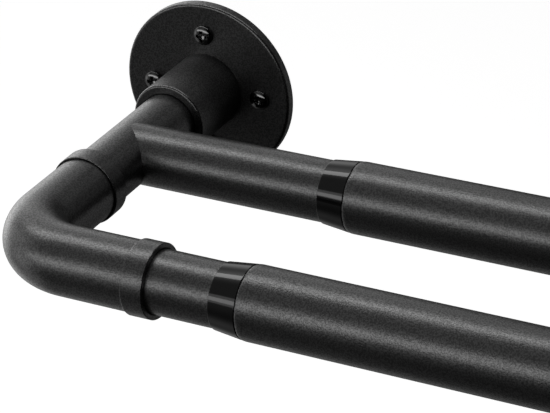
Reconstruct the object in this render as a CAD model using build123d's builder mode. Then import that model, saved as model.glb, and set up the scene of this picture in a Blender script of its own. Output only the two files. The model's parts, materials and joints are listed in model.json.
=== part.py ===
"""Double curtain pole: a front and a back pole that telescope between two wall brackets."""
import os
from build123d import *

os.makedirs("parts", exist_ok=True)

# Millimetres. The origin is the centre of the left wall plate, on the wall.
# +X runs along the poles, +Y into the wall, +Z up. "Out" is a distance from the wall.

# Reach and length
front_reach = 138.5           # wall to the front pole's axis
pole_spacing = 78.0           # front pole's axis to the back pole's axis
outer_tube_length = 552.0     # each thick middle tube
rest_opening = 23.3           # thin front tube left bare between the elbow and the ring
inner_end_gap = 50.0          # between the two thin tubes' plugs, inside a thick tube

# Tubes
outer_tube_radius = 12.7
inner_tube_radius = 11.0
tube_wall = 0.8
cope_overrun = 5.0            # how far the cutter of the back tube's cope passes it on each side
outer_lip_drop = 0.25         # how far a thick tube's end is rolled in
outer_lip_length = 1.8

# Elbow
elbow_radius = 12.1
elbow_bend_radius = 21.0      # centre line of the bend
elbow_rim_x = 56.0            # arm's axis to the mouth of the elbow
elbow_spigot_length = 18.0
elbow_spigot_clearance = 0.15
inner_tube_stop_x = 26.0      # arm's axis to the end of the thin tube inside the elbow

# Mouths: the thick collar of the elbow, and the bell that the arm widens into
mouth_radius = 12.9
mouth_chamfer = 0.2
elbow_collar_length = 8.0
arm_bell_length = 7.2
arm_bell_out = 93.4           # wall to the arm's mouth
arm_bell_floor = 0.8          # metal behind the bell's bore

# Wall plate and its socket
plate_radius = 34.3
plate_thickness = 4.0
plate_chamfer = 0.6
socket_radius = 14.3
socket_length = 30.0
socket_chamfer = 0.5
socket_root_fillet = 0.4
socket_floor = 2.0            # metal left behind the arm's end
slip_clearance = 0.2          # arm in its socket, thin tube in its elbow

# Wall screws
screw_circle_radius = 22.5
screw_count = 4
screw_thread_radius = 2.0     # outside of the thread, which starts at the wall
screw_neck_radius = 1.5       # plain part under the head, as long as the plate is thick
screw_hole_clearance = 0.3
screw_length = 16.0           # under the head
screw_tip_length = 4.0
screw_head_radius = 3.9
screw_head_height = 2.7
screw_head_rim = 0.9          # straight side of the head, below the dome
recess_width = 1.1
recess_span = 4.4
recess_depth = 1.5
recess_taper = 12.0

# Set screw under the socket
set_screw_radius = 2.5
set_screw_length = 4.0
set_screw_clearance = 0.05
set_screw_out = 24.0          # wall to the set screw's axis
set_screw_tip_chamfer = 0.7
hex_key_width = 2.5
hex_key_depth = 2.2

# Moulded ring at each end of a thick tube
ring_length = 10.3            # the tapered part that shows
ring_small_radius = 11.3
ring_large_radius = 12.4
ring_sleeve_length = 14.0     # pushed into the thick tube
ring_running_clearance = 0.08
sleeve_clearance = 0.05
ring_edge_round = 0.15

# Moulded plug on the inner end of each thin tube
plug_head_length = 8.0
plug_stem_length = 12.0
plug_running_clearance = 0.10
plug_stem_clearance = 0.05
plug_bore_radius = 7.0
plug_chamfer = 0.8

# What follows from them
back_reach = front_reach - pole_spacing
outer_tube_bore = outer_tube_radius - tube_wall
inner_tube_bore = inner_tube_radius - tube_wall
outer_tube_x = elbow_rim_x + rest_opening + ring_length
span = outer_tube_length + 2 * outer_tube_x
inner_tube_end_x = span / 2 - inner_end_gap / 2 - plug_head_length
socket_bore = inner_tube_radius + slip_clearance
elbow_bore = inner_tube_radius + slip_clearance
arm_bell_bore = elbow_radius + elbow_spigot_clearance
arm_back_out = socket_floor
arm_seat_out = arm_bell_out - arm_bell_length + arm_bell_floor

# Each end of the pole: its name, the arm's X and the way its poles leave it
ends = [("left", 0.0, 1), ("right", span, -1)]


def along_pole(arm_x, way, reach):
    """Plane of a turned profile: distance from the arm's axis along the pole, then radius."""
    return Plane(origin=(arm_x, -reach, 0), x_dir=(way, 0, 0), z_dir=(0, 0, 1))


def out_of_wall(x, z=0.0):
    """Plane of a turned profile: distance out from the wall, then radius."""
    return Plane(origin=(x, 0, z), x_dir=(0, -1, 0), z_dir=(0, 0, 1))


def facing_room(x, out):
    """Plane parallel to the wall, a distance out from it, with its normal into the room."""
    return Plane(origin=(x, -out, 0), x_dir=(1, 0, 0), z_dir=(0, -1, 0))


def turning_axis(plane):
    return Axis(plane.origin, plane.x_dir)


def make_wall_plate(arm_x):
    """Round plate with a thick-walled socket for the arm, four screw holes and a set screw hole."""
    plate_face = facing_room(arm_x, plate_thickness)
    with BuildPart() as plate:
        with BuildSketch(facing_room(arm_x, 0)):
            Circle(plate_radius)
        extrude(amount=plate_thickness)
        chamfer(plate.faces().sort_by(Axis.Y)[0].edges(), plate_chamfer)
        with BuildSketch(plate_face):
            Circle(socket_radius)
        extrude(amount=socket_length)
        plate_face_edges = plate.edges().filter_by(GeomType.CIRCLE).group_by(Axis.Y)[1]
        fillet(plate_face_edges.sort_by(SortBy.RADIUS)[0], socket_root_fillet)
        chamfer(plate.faces().sort_by(Axis.Y)[0].edges(), socket_chamfer)
        with BuildSketch(facing_room(arm_x, socket_floor)):
            Circle(socket_bore)
        extrude(amount=plate_thickness + socket_length, mode=Mode.SUBTRACT)
        with BuildSketch(facing_room(arm_x, 0)):
            with PolarLocations(screw_circle_radius, screw_count):
                Circle(screw_thread_radius + screw_hole_clearance)
        extrude(amount=plate_thickness, mode=Mode.SUBTRACT)
        with BuildSketch(Plane(origin=(arm_x, -set_screw_out, 0), x_dir=(1, 0, 0), z_dir=(0, 0, -1))):
            Circle(set_screw_radius + set_screw_clearance)
        extrude(amount=socket_radius, mode=Mode.SUBTRACT)
    return plate.part


def make_wall_screw():
    """Pan head wood screw with a plain neck and a cross recess, its head on the plate."""
    head_top = plate_thickness + screw_head_height
    with BuildPart() as screw:
        with BuildSketch(out_of_wall(0)):
            with BuildLine():
                Polyline(
                    (head_top, 0),
                    (plate_thickness - screw_length, 0),
                    (plate_thickness - screw_length + screw_tip_length, screw_thread_radius),
                    (0, screw_thread_radius),
                    (0, screw_neck_radius),
                    (plate_thickness, screw_neck_radius),
                    (plate_thickness, screw_head_radius),
                    (plate_thickness + screw_head_rim, screw_head_radius),
                )
                EllipticalCenterArc(
                    (plate_thickness + screw_head_rim, 0),
                    screw_head_height - screw_head_rim,
                    screw_head_radius,
                    start_angle=0,
                    arc_size=90,
                )
            make_face()
        revolve(axis=turning_axis(out_of_wall(0)))
        with BuildSketch(facing_room(0, head_top)):
            Rectangle(recess_span, recess_width)
            Rectangle(recess_width, recess_span)
        extrude(amount=-recess_depth, taper=recess_taper, mode=Mode.SUBTRACT)
    return screw.part


def make_wall_screws(arm_x, screw):
    """The screws of one plate, on their circle: one at the top, one at each side, one below."""
    top = Vector(0, 0, screw_circle_radius)
    places = [top.rotate(Axis.Y, 360 / screw_count * turn) for turn in range(screw_count)]
    with BuildPart() as screws:
        with Locations(*[place + Vector(arm_x, 0, 0) for place in places]):
            add(screw)
    return screws.part


def make_set_screw(arm_x):
    """Hexagon socket screw that comes up through the socket's wall and bears on the arm."""
    tip = Plane(origin=(arm_x, -set_screw_out, -inner_tube_radius), x_dir=(1, 0, 0), z_dir=(0, 0, -1))
    with BuildPart() as set_screw:
        with BuildSketch(tip):
            Circle(set_screw_radius)
        extrude(amount=set_screw_length)
        chamfer(set_screw.faces().sort_by(Axis.Z)[-1].edges(), set_screw_tip_chamfer)
        with BuildSketch(tip.offset(set_screw_length)):
            RegularPolygon(hex_key_width / 2, 6, major_radius=False)
        extrude(amount=-hex_key_depth, mode=Mode.SUBTRACT)
    return set_screw.part


def make_arm(arm_x):
    """Straight tube from the wall plate's socket to its own bell, which takes the elbow."""
    profile = out_of_wall(arm_x)
    bell_back = arm_bell_out - arm_bell_length
    with BuildPart() as arm:
        with BuildSketch(profile):
            with BuildLine():
                Polyline(
                    (arm_back_out, inner_tube_bore),
                    (arm_back_out, inner_tube_radius),
                    (bell_back, inner_tube_radius),
                    (bell_back, mouth_radius - mouth_chamfer),
                    (bell_back + mouth_chamfer, mouth_radius),
                    (arm_bell_out - mouth_chamfer, mouth_radius),
                    (arm_bell_out, mouth_radius - mouth_chamfer),
                    (arm_bell_out, arm_bell_bore),
                    (arm_seat_out, arm_bell_bore),
                    (arm_seat_out, inner_tube_bore),
                    close=True,
                )
            make_face()
        revolve(axis=turning_axis(profile))
    return arm.part


def make_elbow(arm_x, way):
    """Bent tube: a necked spigot in the arm, a tight 90 degree bend, and a collar at its mouth."""
    profile = along_pole(arm_x, way, front_reach)
    collar_back = elbow_rim_x - elbow_collar_length
    seat = Plane(origin=(arm_x, -arm_seat_out, 0), x_dir=(1, 0, 0), z_dir=(0, -1, 0))
    spigot_radius = inner_tube_bore - elbow_spigot_clearance
    with BuildPart() as elbow:
        with BuildLine() as route:
            FilletPolyline(
                (arm_x, -arm_seat_out),
                (arm_x, -front_reach),
                (arm_x + way * elbow_rim_x, -front_reach),
                radius=elbow_bend_radius,
            )
        with BuildSketch(seat):
            Circle(elbow_radius)
            Circle(elbow_bore, mode=Mode.SUBTRACT)
        sweep(path=route.line)
        with BuildSketch(profile):
            with BuildLine():
                Polyline(
                    (collar_back, elbow_bore),
                    (collar_back, mouth_radius - mouth_chamfer),
                    (collar_back + mouth_chamfer, mouth_radius),
                    (elbow_rim_x - mouth_chamfer, mouth_radius),
                    (elbow_rim_x, mouth_radius - mouth_chamfer),
                    (elbow_rim_x, elbow_bore),
                    close=True,
                )
            make_face()
        revolve(axis=turning_axis(profile))
        with BuildSketch(seat):
            Circle(elbow_radius)
            Circle(spigot_radius - tube_wall, mode=Mode.SUBTRACT)
        extrude(amount=tube_wall)
        with BuildSketch(seat):
            Circle(spigot_radius)
            Circle(spigot_radius - tube_wall, mode=Mode.SUBTRACT)
        extrude(amount=-elbow_spigot_length)
    return elbow.part


def make_front_inner_tube(arm_x, way):
    """Thin tube from inside the elbow to the plug inside the thick front tube."""
    start = Plane(
        origin=(arm_x + way * inner_tube_stop_x, -front_reach, 0), x_dir=(0, 1, 0), z_dir=(way, 0, 0))
    with BuildPart() as tube:
        with BuildSketch(start):
            Circle(inner_tube_radius)
            Circle(inner_tube_bore, mode=Mode.SUBTRACT)
        extrude(amount=inner_tube_end_x - inner_tube_stop_x)
    return tube.part


def make_back_inner_tube(arm_x, way):
    """Thin tube welded to the arm: its end is coped to the arm's own curve."""
    start = Plane(origin=(arm_x, -back_reach, 0), x_dir=(0, 1, 0), z_dir=(way, 0, 0))
    with BuildPart() as tube:
        with BuildSketch(start):
            Circle(inner_tube_radius)
            Circle(inner_tube_bore, mode=Mode.SUBTRACT)
        extrude(amount=inner_tube_end_x)
        with BuildSketch(facing_room(arm_x, back_reach)):
            Circle(inner_tube_radius)
        extrude(amount=inner_tube_radius + cope_overrun, both=True, mode=Mode.SUBTRACT)
    return tube.part


def make_plug(arm_x, way, reach):
    """Moulded plug: its stem grips inside the thin tube and its head runs in the thick tube."""
    profile = along_pole(arm_x, way, reach)
    head_radius = outer_tube_bore - plug_running_clearance
    stem_radius = inner_tube_bore - plug_stem_clearance
    head_end = inner_tube_end_x + plug_head_length
    with BuildPart() as plug:
        with BuildSketch(profile):
            with BuildLine():
                Polyline(
                    (inner_tube_end_x - plug_stem_length, plug_bore_radius),
                    (inner_tube_end_x - plug_stem_length, stem_radius - plug_chamfer),
                    (inner_tube_end_x - plug_stem_length + plug_chamfer, stem_radius),
                    (inner_tube_end_x, stem_radius),
                    (inner_tube_end_x, head_radius),
                    (head_end - plug_chamfer, head_radius),
                    (head_end, head_radius - plug_chamfer),
                    (head_end, plug_bore_radius),
                    close=True,
                )
            make_face()
        revolve(axis=turning_axis(profile))
    return plug.part


def make_ring(arm_x, way, reach):
    """Moulded ring: a taper from the thin tube up to the thick one, and a sleeve inside it."""
    profile = along_pole(arm_x, way, reach)
    ring_bore = inner_tube_radius + ring_running_clearance
    sleeve_radius = outer_tube_bore - sleeve_clearance
    ring_tip_x = outer_tube_x - ring_length
    with BuildPart() as ring:
        with BuildSketch(profile):
            with BuildLine():
                Polyline(
                    (ring_tip_x, ring_bore),
                    (ring_tip_x, ring_small_radius - ring_edge_round),
                    (ring_tip_x + ring_edge_round, ring_small_radius),
                    (outer_tube_x, ring_large_radius),
                    (outer_tube_x, sleeve_radius),
                    (outer_tube_x + ring_sleeve_length, sleeve_radius),
                    (outer_tube_x + ring_sleeve_length, ring_bore),
                    close=True,
                )
            make_face()
        revolve(axis=turning_axis(profile))
    return ring.part


def make_outer_tube(reach):
    """Thick middle tube, with both ends rolled in a little over their rings."""
    profile = along_pole(outer_tube_x, 1, reach)
    lip_radius = outer_tube_radius - outer_lip_drop
    with BuildPart() as tube:
        with BuildSketch(profile):
            with BuildLine():
                Line(
                    (outer_lip_length, outer_tube_radius),
                    (outer_tube_length - outer_lip_length, outer_tube_radius),
                )
                TangentArc(
                    (outer_tube_length - outer_lip_length, outer_tube_radius),
                    (outer_tube_length, lip_radius),
                    tangent=(1, 0),
                )
                Polyline(
                    (outer_tube_length, lip_radius),
                    (outer_tube_length, outer_tube_bore),
                    (0, outer_tube_bore),
                    (0, lip_radius),
                )
                TangentArc(
                    (outer_lip_length, outer_tube_radius),
                    (0, lip_radius),
                    tangent=(-1, 0),
                )
            make_face()
        revolve(axis=turning_axis(profile))
    return tube.part


wall_screw = make_wall_screw()
pieces = {
    "front_outer_tube": make_outer_tube(front_reach),
    "back_outer_tube": make_outer_tube(back_reach),
}
for name, x, way in ends:
    pieces[f"{name}_wall_plate"] = make_wall_plate(x)
    pieces[f"{name}_wall_screws"] = make_wall_screws(x, wall_screw)
    pieces[f"{name}_set_screw"] = make_set_screw(x)
    pieces[f"{name}_arm"] = make_arm(x)
    pieces[f"{name}_elbow"] = make_elbow(x, way)
    pieces[f"{name}_front_inner_tube"] = make_front_inner_tube(x, way)
    pieces[f"{name}_back_inner_tube"] = make_back_inner_tube(x, way)
    pieces[f"{name}_front_plug"] = make_plug(x, way, front_reach)
    pieces[f"{name}_back_plug"] = make_plug(x, way, back_reach)
    pieces[f"{name}_front_ring"] = make_ring(x, way, front_reach)
    pieces[f"{name}_back_ring"] = make_ring(x, way, back_reach)

for name, piece in pieces.items():
    piece.label = name
    export_step(piece, f"parts/{name}.step")

closed_span = span - 2 * rest_opening
stroke = inner_tube_end_x - outer_tube_x - ring_sleeve_length
print(f"arm to arm {span:.1f} mm, closed {closed_span:.1f}, open {span + 2 * stroke:.1f}")
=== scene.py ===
# %% [markdown]
# # A double curtain pole in satin black
#
# Two telescoping poles run side by side between two wall brackets. Each bracket is one
# family of parts: a round wall plate with a socket, a short arm, an elbow that leads to the
# front pole, and a thin tube welded to the arm that leads to the back pole.
#
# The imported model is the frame. It says where every part is and which body it moves with.
# This lesson makes a fine surface for each part that can be seen, gives it its finish, and
# lights it like the photograph.

# %% Load the frame
import json

import bmesh
import bpy
import numpy as np
from mathutils import Matrix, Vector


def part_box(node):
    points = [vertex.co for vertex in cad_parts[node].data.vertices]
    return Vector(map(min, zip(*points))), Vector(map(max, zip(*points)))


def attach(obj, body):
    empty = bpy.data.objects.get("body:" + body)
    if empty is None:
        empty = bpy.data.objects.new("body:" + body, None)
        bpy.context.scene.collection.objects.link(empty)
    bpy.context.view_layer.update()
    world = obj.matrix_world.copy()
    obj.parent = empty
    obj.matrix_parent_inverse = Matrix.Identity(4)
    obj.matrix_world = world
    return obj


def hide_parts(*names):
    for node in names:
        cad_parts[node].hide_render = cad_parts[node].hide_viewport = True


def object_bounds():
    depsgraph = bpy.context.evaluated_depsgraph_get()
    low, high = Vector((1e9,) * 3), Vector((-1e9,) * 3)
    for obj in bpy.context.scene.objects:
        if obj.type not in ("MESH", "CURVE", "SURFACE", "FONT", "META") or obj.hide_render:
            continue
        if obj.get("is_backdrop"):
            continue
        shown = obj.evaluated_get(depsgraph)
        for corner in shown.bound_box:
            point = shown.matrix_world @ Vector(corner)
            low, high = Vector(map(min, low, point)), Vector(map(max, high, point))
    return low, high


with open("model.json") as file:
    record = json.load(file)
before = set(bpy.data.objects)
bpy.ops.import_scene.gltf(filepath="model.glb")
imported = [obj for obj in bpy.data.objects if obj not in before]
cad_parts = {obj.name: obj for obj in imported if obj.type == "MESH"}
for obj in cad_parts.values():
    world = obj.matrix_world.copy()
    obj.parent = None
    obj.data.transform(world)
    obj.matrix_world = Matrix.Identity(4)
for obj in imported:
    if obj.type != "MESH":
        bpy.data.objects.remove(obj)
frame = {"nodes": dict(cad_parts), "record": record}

cad_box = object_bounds()

# %% [markdown]
# ## Sizes
#
# Blender works in metres, but tubes and screws are easier to think of in millimetres, so the
# shapes below are worked out in millimetres and scaled once, when a mesh is made. The boxes of
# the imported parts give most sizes. What a box can't show, such as the wall of a tube or the
# radius of a bend, is named here with the value that the part was designed with. Only the rings
# are a hair fuller here, as the photograph shows them.

# %% Sizes in millimetres
MM = 0.001


def box_mm(node):
    """Lowest and highest corner of a CAD node, in millimetres."""
    low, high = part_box(node)
    return np.array(low) / MM, np.array(high) / MM


thick_low, thick_high = box_mm("front_outer_tube")
thin_low, thin_high = box_mm("left_front_inner_tube")
back_low, back_high = box_mm("back_outer_tube")
plate_low, plate_high = box_mm("left_wall_plate")
arm_low, arm_high = box_mm("left_arm")
elbow_low, elbow_high = box_mm("left_elbow")
ring_low, ring_high = box_mm("left_front_ring")
screws_low, screws_high = box_mm("left_wall_screws")
right_plate_low, right_plate_high = box_mm("right_wall_plate")

front_reach = -(thick_low[1] + thick_high[1]) / 2
back_reach = -(back_low[1] + back_high[1]) / 2
thick_radius = (thick_high[2] - thick_low[2]) / 2
thin_radius = (thin_high[2] - thin_low[2]) / 2
thick_start = thick_low[0]
thick_length = thick_high[0] - thick_low[0]
arm_span = (right_plate_low[0] + right_plate_high[0]) / 2
elbow_radius = -elbow_low[0]
elbow_rim = elbow_high[0]
mouth_radius = elbow_high[2]
arm_bell_rim = -arm_low[1]
plate_radius = plate_high[0]
socket_rim = -plate_low[1]
ring_tip = ring_low[0]
ring_sleeve_end = ring_high[0]
ring_swell = 0.12
ring_large_radius = (ring_high[2] - ring_low[2]) / 2 + ring_swell

tube_wall = 0.8
bend_radius = 21.0
elbow_collar_length = 8.0
arm_bell_length = 7.2
arm_bell_floor = 0.8
slip_gap = 0.2
spigot_gap = 0.15
spigot_length = 18.0
plate_thickness = 4.0
socket_radius = 14.3
socket_floor = 2.0
ring_small_radius = 11.35

ends = {"left": (0.0, 1), "right": (arm_span, -1)}      # the arm's x, and the way its poles run
reaches = {"front": front_reach, "back": back_reach}
print(f"front pole {front_reach:.1f} mm out, back pole {back_reach:.1f}, arms {arm_span:.1f} apart")

# %% [markdown]
# ## The camera
#
# The photograph looks down from the right onto the left end. The camera's place and turn were
# solved from the straight edges and circles in it: the two parallel poles, the round plate and
# the mouths of the bells all have to land on their own outlines at once. Roll is small but
# real. A long lens keeps the two poles nearly parallel.

# %% Camera
PHOTO_WIDTH = 550
focal_in_pixels = 2466.9
camera_place = (0.42023, -0.73342, 0.39524)
camera_azimuth, camera_drop, camera_roll = np.radians((28.339, 27.945, -2.467))

forward = np.array((
    -np.sin(camera_azimuth) * np.cos(camera_drop),
    np.cos(camera_azimuth) * np.cos(camera_drop),
    -np.sin(camera_drop),
))
level = np.array((np.cos(camera_azimuth), np.sin(camera_azimuth), 0.0))
upright = np.cross(level, forward)
rightward = level * np.cos(camera_roll) + upright * np.sin(camera_roll)
upward = upright * np.cos(camera_roll) - level * np.sin(camera_roll)

camera_data = bpy.data.cameras.new("studio_camera")
camera_data.sensor_fit = "HORIZONTAL"
camera_data.sensor_width = 36.0
camera_data.lens = focal_in_pixels / PHOTO_WIDTH * camera_data.sensor_width
camera_data.clip_start = 0.01
camera = bpy.data.objects.new("studio_camera", camera_data)
turn = Matrix(np.column_stack((rightward, upward, -forward)).tolist()).to_4x4()
camera.matrix_world = Matrix.Translation(camera_place) @ turn
bpy.context.scene.collection.objects.link(camera)
bpy.context.scene.camera = camera
print(f"lens {camera_data.lens:.1f} mm")

# %% [markdown]
# ## Arithmetic on shader sockets
#
# A finish is a sum of patterns: grain, plus a slow drift of tone, plus a few specks. Written
# as Math nodes one by one that is hard to read, so this small class wraps an output socket and
# lets Python's own operators add the nodes. `1 - mask` works too, through the reflected form.
# Any other kind of node comes from `node`, which sets its options first and its sockets after.

# %% A socket that can be added and multiplied
class Wire:
    """An output socket. Operators on it add Math nodes to its node tree."""

    def __init__(self, socket):
        self.socket = socket
        self.tree = socket.id_data

    @staticmethod
    def node(tree, kind, settings=None, sockets=None, out=0):
        """Adds a node: its settings are set first, then its sockets get values or links."""
        made = tree.nodes.new(kind)
        for name, value in (settings or {}).items():
            setattr(made, name, value)
        for name, value in (sockets or {}).items():
            if isinstance(value, Wire):
                tree.links.new(value.socket, made.inputs[name])
            else:
                made.inputs[name].default_value = value
        return Wire(made.outputs[out])

    def math(self, operation, other=0.0, swapped=False):
        first, second = (other, self) if swapped else (self, other)
        sockets = {0: first, 1: second}
        return Wire.node(self.tree, "ShaderNodeMath", {"operation": operation}, sockets)

    def __add__(self, other):
        return self.math("ADD", other)

    def __sub__(self, other):
        return self.math("SUBTRACT", other)

    def __rsub__(self, other):
        return self.math("SUBTRACT", other, swapped=True)

    def __mul__(self, other):
        return self.math("MULTIPLY", other)

    __radd__ = __add__

    def ramp(self, start, end):
        """0 below start, 1 above end, and a smooth rise between them."""
        settings = {"interpolation_type": "SMOOTHSTEP"}
        sockets = {"Value": self, "From Min": start, "From Max": end}
        return Wire.node(self.tree, "ShaderNodeMapRange", settings, sockets)


print("shader arithmetic ready")

# %% [markdown]
# ## Satin powder coat
#
# The poles, elbows and arms are steel tube with a baked powder coat. Close up it is a little
# like fine sand: the powder melts into grains about half a millimetre apart that never quite
# level out. In the highlights the grains show as a pale sparkle, and in the shade not at all.
#
# From this far a pixel covers a whole grain, so a relief alone would blur into an even sheen.
# Most of the sparkle therefore comes from the weight of a thin clear coat, which the sand turns
# up on some grains and off on others. A shallow Bump from the same sand, and from a soft orange
# peel more than twice as wide, breaks up what the coat mirrors. The sand also moves the
# roughness a little, and a slow drift of tone keeps a long tube from looking like one flat
# colour. Where an edge is worn, the grain is rubbed down and the coat is smoother.

# %% Powder coat
def new_material(name):
    """An empty material with its output node: gives the node tree and the shader's input."""
    material = bpy.data.materials.new(name)
    material.use_nodes = True
    material.node_tree.nodes.clear()
    output = material.node_tree.nodes.new("ShaderNodeOutputMaterial")
    return material, material.node_tree, output.inputs["Surface"]


def noise(tree, place, grain_mm, detail=2.0, softness=0.5):
    """Noise between 0 and 1 whose grains are about the given size."""
    sockets = {"Vector": place, "Scale": 1.0 / (grain_mm * MM),
               "Detail": detail, "Roughness": softness}
    return Wire.node(tree, "ShaderNodeTexNoise", {"noise_dimensions": "3D"}, sockets)


def shades(tree, dark, light, share):
    """A colour between two greys, by share."""
    settings = {"data_type": "RGBA"}
    sockets = {0: share, 6: (dark, dark, dark, 1.0), 7: (light, light, light, 1.0)}
    return Wire.node(tree, "ShaderNodeMix", settings, sockets, out=2)


SAND_SHARE = 0.7                    # of the relief; the rest is orange peel
PEEL_GRAINS = 2.4                   # width of the orange peel, in grains of sand
DRIFT_MM = 40.0
TONE_FROM, TONE_TO = 0.25, 0.75     # the sand's own range, where it moves the tone
GLINT_FROM, GLINT_TO = 0.42, 0.58   # a narrower one, so that grains glint or don't
ROUGHNESS_SPREAD, WORN_SMOOTHER = 0.10, 0.15


def powder_coat(name, dark, light, roughness, sand_mm, relief_mm, specular, glint):
    """Baked powder: sandy relief, glinting grains, and a slow drift of tone."""
    material, tree, surface = new_material(name)
    place = Wire.node(tree, "ShaderNodeTexCoord", out="Object")
    sand = noise(tree, place, sand_mm, detail=2.0, softness=0.6)
    peel = noise(tree, place, sand_mm * PEEL_GRAINS, detail=1.0)
    drift = noise(tree, place, DRIFT_MM, detail=3.0)
    worn = Wire.node(tree, "ShaderNodeAttribute", {"attribute_name": "edge_wear"}, out="Fac")
    relief = (sand * SAND_SHARE + peel * (1 - SAND_SHARE)) * (1 - worn)
    bumped = Wire.node(tree, "ShaderNodeBump", None,
                       {"Strength": 1.0, "Distance": relief_mm * MM, "Height": relief})
    tone = sand.ramp(TONE_FROM, TONE_TO) * 0.5 + drift * 0.5
    sockets = {
        "Base Color": shades(tree, dark, light, tone),
        "Roughness": roughness + (sand - 0.5) * ROUGHNESS_SPREAD - worn * WORN_SMOOTHER,
        "Specular IOR Level": specular,
        "Coat Weight": sand.ramp(GLINT_FROM, GLINT_TO) * glint,
        "Coat Roughness": roughness,
        "Normal": bumped,
    }
    shader = Wire.node(tree, "ShaderNodeBsdfPrincipled", None, sockets)
    tree.links.new(shader.socket, surface)
    return material


pole_coat = powder_coat("satin_pole_coat", dark=0.004, light=0.008, roughness=0.32,
                        sand_mm=0.55, relief_mm=0.10, specular=0.60, glint=0.95)
plate_coat = powder_coat("satin_plate_coat", dark=0.003, light=0.006, roughness=0.36,
                         sand_mm=0.55, relief_mm=0.08, specular=0.50, glint=0.95)
print("powder coats:", pole_coat.name, plate_coat.name)

# %% [markdown]
# ## Moulded plastic and blackened screws
#
# The rings are glossy mouldings: a skin like black glass with the faintest waviness, so that
# the studio's strip lights lie on them as clean bands. The screws are blackened and oiled steel,
# just as smooth, dark as metals go, and with smaller clouds in their tone. The plugs inside the
# thick tubes are plain matt nylon.

# %% Gloss ring, screw black and plug plastic
RIPPLE_CLOUDS = 0.7         # width of a ripple, in clouds of tone
CLOUD_SPREAD = 0.05         # how far a cloud moves the roughness


def smooth_black(name, dark, light, roughness, cloud_mm, ripple_mm, specular=0.5, metallic=0.0):
    """A smooth dark skin: cloudy tone and roughness, and a shallow ripple in the surface."""
    material, tree, surface = new_material(name)
    place = Wire.node(tree, "ShaderNodeTexCoord", out="Object")
    cloud = noise(tree, place, cloud_mm, detail=4.0)
    ripple = noise(tree, place, cloud_mm * RIPPLE_CLOUDS, detail=1.0)
    bumped = Wire.node(tree, "ShaderNodeBump", None,
                       {"Strength": 1.0, "Distance": ripple_mm * MM, "Height": ripple})
    sockets = {
        "Base Color": shades(tree, dark, light, cloud),
        "Metallic": metallic,
        "Roughness": roughness + (cloud - 0.5) * CLOUD_SPREAD,
        "Specular IOR Level": specular,
        "Normal": bumped,
    }
    shader = Wire.node(tree, "ShaderNodeBsdfPrincipled", None, sockets)
    tree.links.new(shader.socket, surface)
    return material


ring_gloss = smooth_black("glossy_ring_plastic", dark=0.001, light=0.003, roughness=0.08,
                          cloud_mm=6.0, ripple_mm=0.003, specular=0.41)
screw_black = smooth_black("blackened_screw", dark=0.07, light=0.10, roughness=0.08,
                           cloud_mm=1.5, ripple_mm=0.003, metallic=1.0)
plug_nylon = smooth_black("matt_plug_nylon", dark=0.010, light=0.016, roughness=0.55,
                          cloud_mm=3.0, ripple_mm=0.010)
print("smooth finishes:", ring_gloss.name, screw_black.name, plug_nylon.name)

# %% [markdown]
# ## From a grid of points to a piece
#
# Every new surface here is a grid: rows run along the shape and columns run round it. Such a
# grid could be built in edit mode with a Screw or an array of loops, but as numpy arrays the
# whole surface is one formula and one call. Where two sheets share a line, their points fall on
# the same places, so merging them closes the seam. The same merge closes a tip, where a
# whole row shrinks to one point.
#
# Each piece also carries an attribute that says where its edges are worn, worked out from how
# sharply its surface bends, which the powder coat reads.

# %% Grids, sheets and pieces
MERGE_DISTANCE = 1e-6                   # metres
CREASE_ANGLE = np.radians(35)
WEAR_FROM, WEAR_FULL = 600.0, 1100.0    # bend of the surface, per metre


def sheet(points, rows_close=False):
    """Quads over a grid of points (rows, columns, 3) whose columns go once round."""
    rows, columns = points.shape[:2]
    index = np.arange(rows * columns).reshape(rows, columns)
    if rows_close:
        index = np.vstack([index, index[:1]])
    index = np.hstack([index, index[:, :1]])
    quads = np.stack([index[:-1, :-1], index[1:, :-1], index[1:, 1:], index[:-1, 1:]], axis=-1)
    return points.reshape(-1, 3), quads.reshape(-1, 4)


def edge_wear(mesh):
    """Wear at each vertex, from 0 to 1. Between the ends a and b of an edge the surface bends
    outwards by (normal b - normal a) . (b - a) / |b - a| squared. A tube bends by less than
    100 per metre, a rounded corner by 1000 or more. A vertex takes the second largest of its
    edges, so the flat beside a corner, which has one bent edge, isn't worn."""
    def read(items, field, width, kind=float):
        values = np.empty(len(items) * width, kind)
        items.foreach_get(field, values)
        return values.reshape(-1, width)

    places, normals = read(mesh.vertices, "co", 3), read(mesh.vertex_normals, "vector", 3)
    a, b = read(mesh.edges, "vertices", 2, int).T
    step = places[b] - places[a]
    bend = ((normals[b] - normals[a]) * step).sum(axis=1) / (step ** 2).sum(axis=1)
    owners, bends = np.concatenate([a, b]), np.concatenate([bend, bend])
    order = np.lexsort((-bends, owners))
    _, first = np.unique(owners[order], return_index=True)
    return np.clip((bends[order][first + 1] - WEAR_FROM) / (WEAR_FULL - WEAR_FROM), 0, 1)


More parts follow.
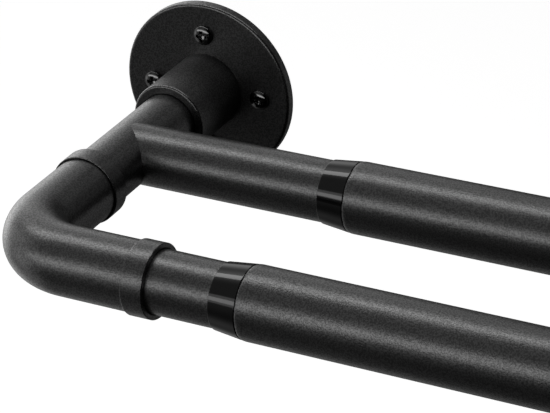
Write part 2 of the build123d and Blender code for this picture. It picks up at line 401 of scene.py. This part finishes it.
def make_piece(name, sheets, finish, body, slot, *stands_for):
    """Joins sheets into one closed mesh in metres, and fits the piece to the frame."""
    first_index = np.cumsum([0] + [len(points) for points, quads in sheets[:-1]])
    points = np.concatenate([points for points, quads in sheets]) * MM
    quads = np.concatenate([quads + start for (_, quads), start in zip(sheets, first_index)])
    mesh = bpy.data.meshes.new(name)
    mesh.vertices.add(len(points))
    mesh.vertices.foreach_set("co", points.ravel())
    mesh.loops.add(quads.size)
    mesh.loops.foreach_set("vertex_index", quads.ravel())
    mesh.polygons.add(len(quads))
    mesh.polygons.foreach_set("loop_start", np.arange(len(quads)) * 4)
    mesh.update(calc_edges=True)

    grid = bmesh.new()
    grid.from_mesh(mesh)
    bmesh.ops.remove_doubles(grid, verts=grid.verts, dist=MERGE_DISTANCE)
    bmesh.ops.recalc_face_normals(grid, faces=grid.faces)
    grid.to_mesh(mesh)
    open_edges = sum(1 for edge in grid.edges if len(edge.link_faces) != 2)
    grid.free()

    mesh.attributes.new("edge_wear", "FLOAT", "POINT").data.foreach_set("value", edge_wear(mesh))
    mesh.shade_smooth()
    mesh.set_sharp_from_angle(angle=CREASE_ANGLE)
    mesh.materials.append(finish)
    piece = bpy.data.objects.new(name, mesh)
    bpy.context.scene.collection.objects.link(piece)
    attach(piece, body)
    if stands_for:
        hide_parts(*stands_for)
    print(f"{name}: {len(mesh.polygons)} faces, {open_edges} open edges")
    return piece


# %% [markdown]
# ## Outlines with soft corners
#
# No edge on a coated part is a true corner: the coat pulls back from it and leaves a tiny
# round, which catches the light as a thin bright line. A Bevel modifier could add that, but a
# turned part is described by one outline, so it is simpler to round the outline itself. An
# outline is a closed loop of (distance along the centre line, radius) corners in millimetres.

# %% Rounded outlines
def rounded(corners, radius, steps=5):
    """Closed outline whose corners are arcs of the given radius.

    Between the unit directions u and v to its neighbours, a corner's arc starts
    radius / tan(half angle) along u and ends as far along v. One more point, half a
    radius further on each side, keeps the flat beside the arc shading flat.
    """
    corners = np.asarray(corners, float)
    u = np.roll(corners, 1, axis=0) - corners
    v = np.roll(corners, -1, axis=0) - corners
    u /= np.linalg.norm(u, axis=1, keepdims=True)
    v /= np.linalg.norm(v, axis=1, keepdims=True)
    half = np.arccos(np.clip((u * v).sum(axis=1), -1, 1))[:, None] / 2
    radius = np.broadcast_to(radius, len(corners))[:, None]
    reach = radius / np.tan(half)
    inward = (u + v) / np.linalg.norm(u + v, axis=1, keepdims=True)
    centre = corners + inward * radius / np.sin(half)
    start, end = corners + u * reach - centre, corners + v * reach - centre
    share = np.linspace(0, 1, steps + 1)[None, :, None]
    sweep = (np.pi - 2 * half)[:, None]
    arcs = np.sin((1 - share) * sweep) * start[:, None] + np.sin(share * sweep) * end[:, None]
    arcs = centre[:, None] + arcs / np.sin(sweep)
    before = (corners + u * (reach + radius / 2))[:, None]
    after = (corners + v * (reach + radius / 2))[:, None]
    return np.concatenate([before, arcs, after], axis=1).reshape(-1, 2)


def spaced(outline, longest):
    """The same closed outline, with further points so that no step is longer than this."""
    loop = np.vstack([outline, outline[:1]])
    travelled = np.append(0, np.cumsum(np.linalg.norm(np.diff(loop, axis=0), axis=1)))
    stops = np.append(travelled[:-1], np.arange(0, travelled[-1], longest))
    stops = np.unique(np.round(stops, 5))
    return np.stack([np.interp(stops, travelled, loop[:, axis]) for axis in (0, 1)], axis=1)


square = [(0, 1), (2, 1), (2, 3), (0, 3)]
print("a square with 0.1 mm corners has", len(rounded(square, 0.1)), "points")

# %% [markdown]
# ## One rule for every tube
#
# A thick tube, a ring, an arm and a bent elbow are the same thing to this rule: an outline is
# carried round a centre line. Only the line differs. A straight route suits the tubes, and the
# elbow's route runs out from the wall, round a quarter circle and off along the pole. Because
# the outline's first number is the distance along the route, the elbow's bell stays square to
# the tube without any extra work.

# %% Routes and the carried outline
TURNS = 160


def straight(origin, direction):
    """Route on a line: the centre is origin + distance * direction."""
    direction = np.array(direction, float)
    side = np.cross(direction, (0.0, 0.0, 1.0))

    def route(along):
        return np.asarray(origin) + along[..., None] * direction, side
    return route


def round_the_bend(arm_x, way):
    """Route of an elbow, by its distance from the wall.

    Up to the bend the centre only moves out. In the bend it has turned by the angle
    (distance - start) / bend radius. After it, the rest of the distance is along the pole.
    """
    start = front_reach - bend_radius
    finish = start + bend_radius * np.pi / 2

    def route(along):
        turned = np.clip((along - start) / bend_radius, 0, np.pi / 2)
        out = np.minimum(along, start) + bend_radius * np.sin(turned)
        aside = bend_radius * (1 - np.cos(turned)) + np.maximum(along - finish, 0)
        centre = np.stack([arm_x + way * aside, -out, 0 * out], axis=-1)
        side = np.stack([way * np.cos(turned), np.sin(turned), 0 * turned], axis=-1)
        return centre, side
    return route


def carry(route, along, radius):
    """Grid of points: the centre line at each distance, plus radius times the direction
    cos t * side + sin t * up, for equal angles t all the way round. Distance and radius
    are arrays (rows, 1), or (rows, turns) where they change with t."""
    angle = np.arange(TURNS) * 2 * np.pi / TURNS
    along, radius = along + 0 * angle, radius + 0 * angle
    centre, side = route(along)
    up = np.array((0.0, 0.0, 1.0))
    outward = np.cos(angle)[:, None] * side + np.sin(angle)[:, None] * up
    return centre + radius[..., None] * outward


def turned_part(route, outline):
    """Closed sheet of an outline carried round a route."""
    return [sheet(carry(route, outline[:, :1], outline[:, 1:]), rows_close=True)]


print("points round each tube:", TURNS)

# %% [markdown]
# ## Thick tubes and their rings
#
# The middle tubes are rolled in a little at each end, so they end in a soft lip and not
# in a cut edge. A glossy ring tapers from the thin tube up to that lip, and stops a hair
# before it. The narrow gap between them is the dark seam that shows in the photograph.

# %% Thick tubes
lip_length, lip_drop = 1.8, 0.25
lip_steps = 8
bore_chamfer = 0.1
tube_step = 12.0            # longest quad along a straight tube


def thick_tube(name, reach, body, node):
    """Tube whose radius at its ends follows a quarter ellipse: it drops by lip_drop over
    lip_length, slowly at first. The flat end face then runs in to a chamfer at the bore."""
    share = np.linspace(1, 0, lip_steps)
    drop = lip_drop * (1 - np.sqrt(1 - (1 - share) ** 2))
    lip = np.stack([lip_length * share, thick_radius - drop], axis=1)
    bore = thick_radius - tube_wall
    far_lip = lip[::-1] * (-1, 1) + (thick_length, 0)
    outline = np.vstack([
        lip,
        [(0.0, bore + bore_chamfer), (bore_chamfer, bore)],
        [(thick_length - bore_chamfer, bore), (thick_length, bore + bore_chamfer)],
        far_lip,
    ])
    route = straight((thick_start, -reach, 0), (1, 0, 0))
    return make_piece(name, turned_part(route, spaced(outline, tube_step)), pole_coat, body,
                      "pole_coat", node)


for which, reach in reaches.items():
    thick_tube(f"{which}_thick_tube", reach, f"{which}_tube", f"{which}_outer_tube")

# %% Rings
ring_bore_gap = 0.08
sleeve_gap = 0.05
seam_gap = 0.22
tip_edge, ring_edge, hidden_edge = 0.04, 0.20, 0.1


def taper_ring(name, arm_x, way, reach, body, node):
    """Cone from the thin tube to just before the thick one's lip, with a sleeve inside that."""
    bore = thin_radius + ring_bore_gap
    sleeve = thick_radius - tube_wall - sleeve_gap
    outline = rounded([
        (ring_tip, bore),
        (ring_tip, ring_small_radius),
        (thick_start - seam_gap, ring_large_radius),
        (thick_start - seam_gap, sleeve),
        (ring_sleeve_end, sleeve),
        (ring_sleeve_end, bore),
    ], [tip_edge, ring_edge, ring_edge] + [hidden_edge] * 3)
    route = straight((arm_x, -reach, 0), (way, 0, 0))
    return make_piece(name, turned_part(route, outline), ring_gloss, body, "ring_plastic", node)


for end, (arm_x, way) in ends.items():
    for which, reach in reaches.items():
        taper_ring(f"{end}_{which}_taper_ring", arm_x, way, reach,
                   f"{which}_tube", f"{end}_{which}_ring")

# %% [markdown]
# ## Thin tubes
#
# The front thin tube starts inside the elbow. The back one is welded to the side of the arm,
# so its end is coped: cut to the curve of the arm that it meets. Seen from the top, a point at
# height h on the tube meets the arm's cylinder at the square root of R * R - h * h from the
# arm's axis. The cut is carried a little into the arm's wall, as the weld does.

# %% Thin tubes
weld_depth = 0.4
thin_end = thin_high[0]
tube_edge = 0.12


def thin_outline(start):
    """Outline of a thin tube, from its start to the end inside the thick tube."""
    return rounded([
        (start, thin_radius),
        (thin_end, thin_radius),
        (thin_end, thin_radius - tube_wall),
        (start, thin_radius - tube_wall),
    ], tube_edge)


def coped_tube(route):
    """Thin tube whose start follows the arm.

    The height of a point is its radius times sin t. Its start moves out to where the arm's
    cylinder is at that height, and the shift fades evenly to nothing at the far end.
    """
    outline = spaced(thin_outline(0.0), tube_step)
    along, radius = outline[:, :1], outline[:, 1:]
    height = radius * np.sin(np.arange(TURNS) * 2 * np.pi / TURNS)
    meets_arm = np.sqrt(np.maximum((thin_radius - weld_depth) ** 2 - height ** 2, 0))
    shifted = along + (1 - along / thin_end) * meets_arm
    return [sheet(carry(route, shifted, radius), rows_close=True)]


for end, (arm_x, way) in ends.items():
    front_route = straight((arm_x, -front_reach, 0), (way, 0, 0))
    front_tube = turned_part(front_route, spaced(thin_outline(thin_low[0]), tube_step))
    make_piece(f"{end}_front_thin_tube", front_tube, pole_coat, f"{end}_end",
               "pole_coat", f"{end}_front_inner_tube")
    back_route = straight((arm_x, -back_reach, 0), (way, 0, 0))
    make_piece(f"{end}_back_thin_tube", coped_tube(back_route), pole_coat, f"{end}_end",
               "pole_coat", f"{end}_back_inner_tube")

# %% [markdown]
# ## Arms and elbows
#
# The arm ends in a bell, a short mouth pressed wider than the tube, and the elbow goes into
# it. The elbow ends in a thick collar, and the thin tube goes into that. Both have a sharp
# little step at the back. At the front a rim shows, with a narrow dark gap inside it and a
# thin bright line where its edge turns to the light.

# %% Arms and elbows
bell_bore = elbow_radius + spigot_gap
thin_bore = thin_radius - tube_wall
elbow_bore = thin_radius + slip_gap
spigot_radius = thin_bore - spigot_gap
arm_seat = arm_bell_rim - arm_bell_length + arm_bell_floor
step_fillet, mouth_edge, mouth_inner_edge, collar_inner_edge = 0.15, 0.25, 0.15, 0.2
arm_step, bend_step = 6.0, 0.9      # longest quads along the arm and along the elbow


def arm(name, arm_x, body, node):
    """Straight tube from the socket's floor, with a bell at its room end."""
    bell_back = arm_bell_rim - arm_bell_length
    outline = rounded([
        (socket_floor, thin_bore),
        (socket_floor, thin_radius),
        (bell_back, thin_radius),
        (bell_back, mouth_radius),
        (arm_bell_rim, mouth_radius),
        (arm_bell_rim, bell_bore),
        (arm_seat, bell_bore),
        (arm_seat, thin_bore),
    ], [tube_edge] * 2 + [step_fillet] + [mouth_edge] * 2 + [mouth_inner_edge] + [hidden_edge] * 2)
    route = straight((arm_x, 0, 0), (0, -1, 0))
    return make_piece(name, turned_part(route, spaced(outline, arm_step)), pole_coat, body,
                      "pole_coat", node)


def elbow(name, arm_x, way, body, node):
    """Bent tube: a necked spigot in the arm, the bend, and a collar round the thin tube.
    Past the bend, a point x from the arm's axis is at x + leg_offset along the route."""
    leg_offset = front_reach - bend_radius + bend_radius * np.pi / 2 - bend_radius
    rim = leg_offset + elbow_rim
    collar_back = rim - elbow_collar_length
    outline = rounded([
        (arm_seat - spigot_length, spigot_radius),
        (arm_seat, spigot_radius),
        (arm_seat, elbow_radius),
        (collar_back, elbow_radius),
        (collar_back, mouth_radius),
        (rim, mouth_radius),
        (rim, elbow_bore),
        (arm_seat + tube_wall, elbow_bore),
        (arm_seat + tube_wall, spigot_radius - tube_wall),
        (arm_seat - spigot_length, spigot_radius - tube_wall),
    ], [tube_edge] * 3 + [step_fillet] + [mouth_edge] * 2 + [collar_inner_edge] + [hidden_edge] * 3)
    return make_piece(name, turned_part(round_the_bend(arm_x, way), spaced(outline, bend_step)),
                      pole_coat, body, "pole_coat", node)


for end, (arm_x, way) in ends.items():
    arm(f"{end}_bracket_arm", arm_x, f"{end}_end", f"{end}_arm")
    elbow(f"{end}_bent_elbow", arm_x, way, f"{end}_end", f"{end}_elbow")

# %% [markdown]
# ## Wall plates
#
# A wall plate is a turned part with four screw holes. A Boolean would cut the holes, but it
# leaves ragged faces round them. Here each quarter of the plate is one sheet instead. It starts
# at the quarter's outline on the front, draws in to the screw hole, goes through it, and opens
# out again on the back. Turned strips then close the rim, the socket and the middle of the back.
# The socket's strip starts with a narrow groove at its root, the dark line in the photograph.

# %% Wall plates
QUARTER = TURNS // 4
RADIAL_STEPS = 14
FACE_STEPS, FACE_EASE = 7, 1.6      # rows from outline to hole, closer together near the hole
EDGE_STEPS = 9
screw_circle = frame["record"]["mounts"][1]["dims"]["pcd_mm"] / 2
hole_radius = 2.3
hole_edge = 0.25
front_round = 1.0
round_margin = 1.6          # a round and the flat beside it take up 1.5 of its radius
back_edge = 0.2
rim_round = 0.8
bore_edge = 0.15
groove_width, groove_depth, groove_draft = 0.5, 0.35, 0.05
groove_edge, root_fillet = 0.05, 0.03
front_outer = plate_radius - round_margin * front_round
front_inner = socket_radius + groove_width
back_outer, back_inner = plate_radius - 0.5, 8.0


def quarter_outline(outer, inner, middle):
    """Outline of a quarter of a ring round the angle middle: the outer arc, a radial line
    inwards, the inner arc back and a radial line outwards. Gives radii and angles."""
    arc = np.linspace(-np.pi / 4, np.pi / 4, QUARTER, endpoint=False)
    line = np.linspace(0, 1, RADIAL_STEPS, endpoint=False)
    radii = np.concatenate([
        np.full(QUARTER, outer), outer + (inner - outer) * line,
        np.full(QUARTER, inner), inner + (outer - inner) * line])
    angles = middle + np.concatenate([
        arc, np.full(RADIAL_STEPS, np.pi / 4), -arc, np.full(RADIAL_STEPS, -np.pi / 4)])
    return radii, angles


def quarter_sheet(arm_x, middle):
    """Front face, hole and back face of one quarter, as rows of points.

    On a face, a point is the hole's edge plus a share of the way to the quarter's outline.
    The hole's edge has a point in the same direction as each point of the outline.
    """
    hole = screw_circle * np.array((np.cos(middle), np.sin(middle)))
    eased = np.linspace(1, 0, FACE_STEPS) ** FACE_EASE

    def face(outer, inner, out, shares):
        radii, angles = quarter_outline(outer, inner, middle)
        outline = radii[:, None] * np.stack([np.cos(angles), np.sin(angles)], axis=1)
        away = outline - hole
        away /= np.linalg.norm(away, axis=1, keepdims=True)
        edge = hole + away * (hole_radius + hole_edge)
        flat = edge + shares[:, None, None] * (outline - edge)
        return flat, np.full(flat.shape[:2], out), away

    front, front_out, direction = face(front_outer, front_inner, plate_thickness, eased)
    back, back_out, _ = face(back_outer, back_inner, 0.0, eased[::-1])
    depths = np.array((plate_thickness - hole_edge, hole_edge))
    wall = hole + hole_radius * direction + 0 * depths[:, None, None]
    flat = np.concatenate([front, wall, back])
    out = np.concatenate([front_out, np.repeat(depths[:, None], wall.shape[1], axis=1), back_out])
    points = np.stack([arm_x + flat[..., 0], -out, flat[..., 1]], axis=-1)
    return sheet(points)


def turned_strip(arm_x, outline):
    """Open sheet: an outline of (distance from the wall, radius) turned round the arm's axis.
    Its columns start at 45 degrees, where the quarters meet."""
    angle = np.pi / 4 + np.arange(TURNS) * 2 * np.pi / TURNS
    outline = np.asarray(outline, float)
    out, radius = outline[:, :1] + 0 * angle, outline[:, 1:]
    return sheet(np.stack([arm_x + radius * np.cos(angle), -out, radius * np.sin(angle)], axis=-1))


def open_part(corners, radii):
    """Rounded outline of an open run of corners. Its first and last corner get a tiny round,
    whose EDGE_STEPS + 3 points are then left out, so they stay sharp."""
    tiny = 1e-4
    loop = rounded(corners, [tiny] + list(radii) + [tiny], EDGE_STEPS)
    return np.vstack([corners[0], loop[EDGE_STEPS + 3:-EDGE_STEPS - 3], corners[-1]])


def wall_plate(name, arm_x, body, node):
    """Four quarters with their holes, and three turned strips: rim, socket, middle of the back."""
    rim = open_part([
        (plate_thickness, front_outer),
        (plate_thickness, plate_radius),
        (0.0, plate_radius),
        (0.0, back_outer),
    ], [front_round, back_edge])
    socket = open_part([
        (plate_thickness, front_inner),
        (plate_thickness - groove_depth, front_inner - groove_draft),
        (plate_thickness - groove_depth, socket_radius),
        (socket_rim, socket_radius),
        (socket_rim, thin_radius + slip_gap),
        (socket_floor, thin_radius + slip_gap),
        (socket_floor, 0.0),
    ], [groove_edge, root_fillet, rim_round, bore_edge, bore_edge])
    middle = np.array([(0.0, back_inner), (0.0, back_inner / 2), (0.0, 0.0)])
    sheets = [quarter_sheet(arm_x, np.pi / 2 * quarter) for quarter in range(4)]
    sheets += [turned_strip(arm_x, rim), turned_strip(arm_x, socket), turned_strip(arm_x, middle)]
    return make_piece(name, sheets, plate_coat, body, "plate_coat", node)


for end, (arm_x, way) in ends.items():
    wall_plate(f"{end}_round_plate", arm_x, f"{end}_end", f"{end}_wall_plate")

# %% [markdown]
# ## Wall screws
#
# A screw is one sheet from the middle of its head to its tip. Two things are pressed or cut
# into it. The cross recess lowers the head where a point is inside one of two bars or in the
# round core between them, whose shallow cone catches a small glint. The thread is a ridge whose
# place along the screw moves on by one pitch for each turn round it.

# %% Wall screws
head_radius, head_height, head_rim = 3.9, 2.7, 0.9
neck_radius, thread_radius, core_radius = 1.5, 2.0, 1.4
thread_pitch, tip_length = 1.8, 4.0
thread_flank = 3.2          # each flank of the ridge takes up 1 / 3.2 of a pitch
thread_fade = 0.8           # share of the tip over which the ridge grows
thread_runout = 0.8         # and the millimetres over which it ends at the neck
recess_width, recess_span, recess_depth = 1.1, 4.4, 2.1
recess_core, recess_floor = 1.25, 0.35      # radii of the cone and of its flat floor
recess_cone, recess_wing = 0.47, 0.6        # rise of the floor per mm, in the core and beyond
wall_from, wall_to, wing_end_to = -0.05, 0.10, 0.35
head_edge, neck_fillet, neck_end = 0.15, 0.1, 0.4
screw_tip = -screws_high[1]
SCREW_TURNS, HEAD_ROWS, THREAD_ROWS = 72, 44, 12


def slope(value, start, end):
    """Straight rise from 0 at start to 1 at end, flat outside them."""
    return np.clip((value - start) / (end - start), 0, 1)


def screw_points():
    """Rows of (x, out, z) points of one screw, about its own axis.

    The head is a quarter ellipse. Inside the cross its height drops by depth times a slope,
    which rises from 0 to 1 at the walls. Depth lessens with the distance from the middle: not
    on the flat floor, then by recess_cone per mm in the core and by recess_wing beyond it.
    The thread adds a triangle wave of (out / pitch + angle / full turn).
    """
    angle = np.arange(SCREW_TURNS) * 2 * np.pi / SCREW_TURNS
    top = plate_thickness + head_height
    crown = np.sin(np.linspace(0, 1, HEAD_ROWS) * np.pi / 2)
    radius = (head_radius * crown)[:, None] + 0 * angle
    bulge = np.sqrt(np.maximum(1 - crown ** 2, 0))
    dome = plate_thickness + head_rim + (head_height - head_rim) * bulge

    x, z = radius * np.cos(angle), radius * np.sin(angle)
    bars = [
        slope(recess_width / 2 - np.abs(across), wall_from, wall_to)
        * slope(recess_span / 2 - np.abs(along), wall_from, wing_end_to)
        for across, along in ((x, z), (z, x))]
    core = slope(recess_core - radius, wall_from, wall_to)
    cone = np.clip(radius, recess_floor, recess_core) - recess_floor
    wing = np.maximum(radius - recess_core, 0)
    depth = recess_depth - recess_cone * cone - recess_wing * wing
    out = dome[:, None] - np.maximum(np.maximum(*bars), core) * depth
    head = np.stack([x, out, z], axis=-1)

    neck = np.array([       # (out, radius): down the rim, round its edge, in, along the neck
        (plate_thickness + head_rim / 2, head_radius),
        (plate_thickness + head_edge, head_radius),
        (plate_thickness + 0.04, head_radius - 0.05),
        (plate_thickness, head_radius - head_edge),
        (plate_thickness, neck_radius + 3 * neck_fillet),
        (plate_thickness, neck_radius + neck_fillet),
        (plate_thickness - neck_fillet, neck_radius),
        (1.0, neck_radius),
        (neck_end, neck_radius)])

    rows = np.arange(0.0, -screw_tip, thread_pitch / THREAD_ROWS)      # from the tip
    phase = (rows[:, None] / thread_pitch + angle / (2 * np.pi)) % 1
    ridge = np.clip(1 - np.abs(phase - 0.5) * thread_flank, 0, 1)
    height = (thread_radius - core_radius) * slope(rows, 0.0, tip_length * thread_fade)
    height = height * slope(-screw_tip - rows, 0.0, thread_runout)
    shank = (core_radius * slope(rows, 0.0, tip_length))[:, None] + height[:, None] * ridge

    def turned(out, radius):
        return np.stack([radius * np.cos(angle), out + 0 * angle, radius * np.sin(angle)], axis=-1)

    return np.concatenate([
        head, turned(neck[:, :1], neck[:, 1:]), turned((screw_tip + rows)[:, None], shank)[::-1]])


def wall_screws(name, arm_x, body, node):
    """Four copies of the screw on the plate's circle."""
    one = screw_points()
    sheets = []
    for quarter in range(4):
        x = arm_x + screw_circle * np.cos(np.pi / 2 * quarter)
        z = screw_circle * np.sin(np.pi / 2 * quarter)
        sheets.append(sheet(one * (1, -1, 1) + (x, 0, z)))
    return make_piece(name, sheets, screw_black, body, "screw_black", node)


for end, (arm_x, way) in ends.items():
    wall_screws(f"{end}_pan_screws", arm_x, f"{end}_end", f"{end}_wall_screws")

# %% [markdown]
# ## Set screws
#
# A small grub screw comes up through the underside of each socket and holds the arm. Its
# hexagon recess is the same rule as before with a radius that depends on the angle: half the
# key's width, divided by the cosine of the angle from the middle of the nearest flat.

# %% Set screws
set_low, set_high = box_mm("left_set_screw")
key_width, key_depth = 2.5, 2.2
key_chamfer, end_chamfer, tip_chamfer = 0.15, 0.3, 0.7


def set_screw(name, arm_x, body, node):
    """Rows from the floor of the recess, up its six walls, over the end and down the side."""
    angle = np.arange(SCREW_TURNS) * 2 * np.pi / SCREW_TURNS
    flat = (angle + np.pi / 6) % (np.pi / 3) - np.pi / 6
    hexagon = key_width / 2 / np.cos(flat)
    end_z, tip_z = set_low[2], set_high[2]
    screw_radius = (set_high[0] - set_low[0]) / 2
    rows = [                # (radius, height)
        (0, end_z + key_depth),
        (hexagon, end_z + key_depth),
        (hexagon, end_z + key_chamfer),
        (hexagon + key_chamfer, end_z),
        (screw_radius - end_chamfer, end_z),
        (screw_radius, end_z + end_chamfer),
        (screw_radius, tip_z - tip_chamfer),
        (screw_radius - tip_chamfer, tip_z),
        (0, tip_z)]
    centre_y = (set_low[1] + set_high[1]) / 2
    points = np.stack([
        np.stack([arm_x + r * np.cos(angle), centre_y + r * np.sin(angle), z + 0 * angle], axis=-1)
        for r, z in rows])
    return make_piece(name, [sheet(points)], screw_black, body, "screw_black", node)


for end, (arm_x, way) in ends.items():
    set_screw(f"{end}_grub_screw", arm_x, f"{end}_end", f"{end}_set_screw")

# %% [markdown]
# ## Plugs
#
# The plugs run inside the thick tubes and never show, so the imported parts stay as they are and
# only get their own finish.

# %% Plugs
for end in ends:
    for which in reaches:
        plug = frame["nodes"][f"{end}_{which}_plug"]
        plug.data.materials.clear()
        plug.data.materials.append(plug_nylon)
print("plugs finished:", 2 * len(ends))

# %% [markdown]
# ## The studio
#
# The photograph has no visible floor: everything round the pole is white. Here a wide pale
# floor curves up into a wall on all sides, so each view ends in the same white. It is seen by
# the camera alone: a real studio would hang black cloth between it and the poles, and here the
# floor is simply left out of their reflections.

# %% Floor
floor_z = -0.40
floor_radius, cove_radius = 14.0, 3.0
FLOOR_TURNS, COVE_STEPS = 96, 16
paper_tones, paper_glow, paper_scale = (0.48, 0.50), 0.72, 3.0


def pale_floor():
    """Surface of revolution: flat to floor_radius, then a quarter circle up to a wall."""
    angle = np.arange(FLOOR_TURNS) * 2 * np.pi / FLOOR_TURNS
    rise = np.linspace(0, np.pi / 2, COVE_STEPS)
    radius = np.concatenate([[0.0, floor_radius / 2], floor_radius + cove_radius * np.sin(rise)])
    height = np.concatenate([[0.0, 0.0], cove_radius * (1 - np.cos(rise))]) + floor_z
    points = np.stack([
        radius[:, None] * np.cos(angle),
        radius[:, None] * np.sin(angle),
        height[:, None] + 0 * angle], axis=-1)
    points, quads = sheet(points)
    mesh = bpy.data.meshes.new("pale_floor")
    mesh.from_pydata(points.tolist(), [], quads.tolist())
    mesh.shade_smooth()
    floor = bpy.data.objects.new("pale_floor", mesh)
    bpy.context.scene.collection.objects.link(floor)
    return floor


floor = pale_floor()
floor_finish, tree, surface = new_material("pale_floor_paper")
place = Wire.node(tree, "ShaderNodeTexCoord", out="Object")
paper = Wire.node(tree, "ShaderNodeTexNoise", {"noise_dimensions": "3D"},
                  {"Vector": place, "Scale": paper_scale})
shader = Wire.node(tree, "ShaderNodeBsdfPrincipled", None, {
    "Base Color": shades(tree, *paper_tones, paper), "Roughness": 0.9,
    "Emission Color": (1.0, 1.0, 1.0, 1.0), "Emission Strength": paper_glow})
tree.links.new(shader.socket, surface)
floor.data.materials.append(floor_finish)
floor.visible_glossy = False
floor.visible_diffuse = False
floor.visible_shadow = False
floor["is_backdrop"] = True
print("floor radius", floor_radius + cove_radius, "m")

# %% [markdown]
# ## Strip lights
#
# The black coats are lit by what they mirror. Two long soft strips make the two bands on every
# tube: one overhead, a little behind the poles, and one low in front. A third, wider and dim,
# lies round the front one, so its band fades out at the edges as a diffuser's does. Each could
# be a glowing plane as well, but an area light gives less noise.

# %% Strip lights
poles_middle = np.array((0.0, -0.10, 0.0))


def strip_light(name, x_middle, lift, distance, length, width, radiance):
    """Rectangle of light along X, which faces the poles from a distance. Its place is the line
    from the poles to the front, turned up by lift degrees, so 90 is straight above them."""
    data = bpy.data.lights.new(name, "AREA")
    data.shape = "RECTANGLE"
    data.size, data.size_y = length, width
    data.energy = radiance * np.pi * length * width
    light = bpy.data.objects.new(name, data)
    along = np.array((1.0, 0.0, 0.0))
    back = np.array((0.0, -np.cos(np.radians(lift)), np.sin(np.radians(lift))))
    facing = Matrix(np.column_stack((along, np.cross(back, along), back)).tolist()).to_4x4()
    place = poles_middle + x_middle * along + distance * back
    light.matrix_world = Matrix.Translation(place.tolist()) @ facing
    light.visible_camera = False
    bpy.context.scene.collection.objects.link(light)


strip_light("overhead_strip", x_middle=-0.45, lift=102, distance=1.47,
            length=2.7, width=0.41, radiance=3.71)
strip_light("front_strip", x_middle=-1.0, lift=16, distance=2.55,
            length=6.0, width=0.56, radiance=2.32)
strip_light("front_strip_halo", x_middle=-2.0, lift=17, distance=2.55,
            length=6.0, width=1.30, radiance=1.00)

# %% [markdown]
# ## What the coats mirror
#
# The world is what shows in the reflections beyond the strips. It is a dark room with a few
# soft round patches of light, written by direction. Four wide dim ones lift the shadows: two in
# front on the left, one behind on the right and one below. Ten narrower ones are spread, high
# and low, behind the poles and round to the left, where the elbow, the arm and the screw heads
# mirror them at a grazing angle. They make the elbow's pale edge.

# %% World
world = bpy.data.worlds.new("studio_room")
world.use_nodes = True
bpy.context.scene.world = world
tree = world.node_tree
tree.nodes.clear()
output = tree.nodes.new("ShaderNodeOutputWorld")
towards = Wire.node(tree, "ShaderNodeTexCoord", out="Generated")

WIDE, NARROW = 8.0, 30.0
soft_patches = [          # degrees from +X towards +Y, degrees above the horizon, focus, strength
    (240, 60, WIDE, 0.31), (240, 10, WIDE, 0.23), (45, -12, WIDE, 0.26), (120, -65, WIDE, 0.16),
    (60, 40, NARROW, 0.40), (110, 50, NARROW, 0.75), (125, 20, NARROW, 0.82),
    (140, 5, NARROW, 1.72), (155, 50, NARROW, 1.24), (155, -10, NARROW, 1.89),
    (155, -40, NARROW, 0.75), (185, 20, NARROW, 1.18), (200, -10, NARROW, 1.24),
    (200, -40, NARROW, 0.52),
]


def soft_patch(azimuth, elevation, focus, strength):
    """Strength times e to the power of focus * (cosine of the angle from the middle - 1)."""
    azimuth, elevation = np.radians((azimuth, elevation))
    flat = np.cos(elevation)
    middle = (np.cos(azimuth) * flat, np.sin(azimuth) * flat, np.sin(elevation))
    cosine = Wire.node(tree, "ShaderNodeVectorMath", {"operation": "DOT_PRODUCT"},
                       {0: towards, 1: middle}, out="Value")
    return ((cosine - 1) * focus).math("EXPONENT") * strength


room = sum((soft_patch(*patch) for patch in soft_patches), 0.0)
background = Wire.node(tree, "ShaderNodeBackground", None,
                       {"Color": (1.0, 1.0, 1.0, 1.0), "Strength": room})
tree.links.new(background.socket, output.inputs["Surface"])
bpy.context.scene.view_settings.view_transform = "Standard"
print("soft patches:", len(soft_patches))

# %% Finish
visual_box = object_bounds()
for label, (low, high) in (("CAD", cad_box), ("visual", visual_box)):
    print(label, "box, mm:", [round(1000 * (high[axis] - low[axis]), 2) for axis in range(3)])
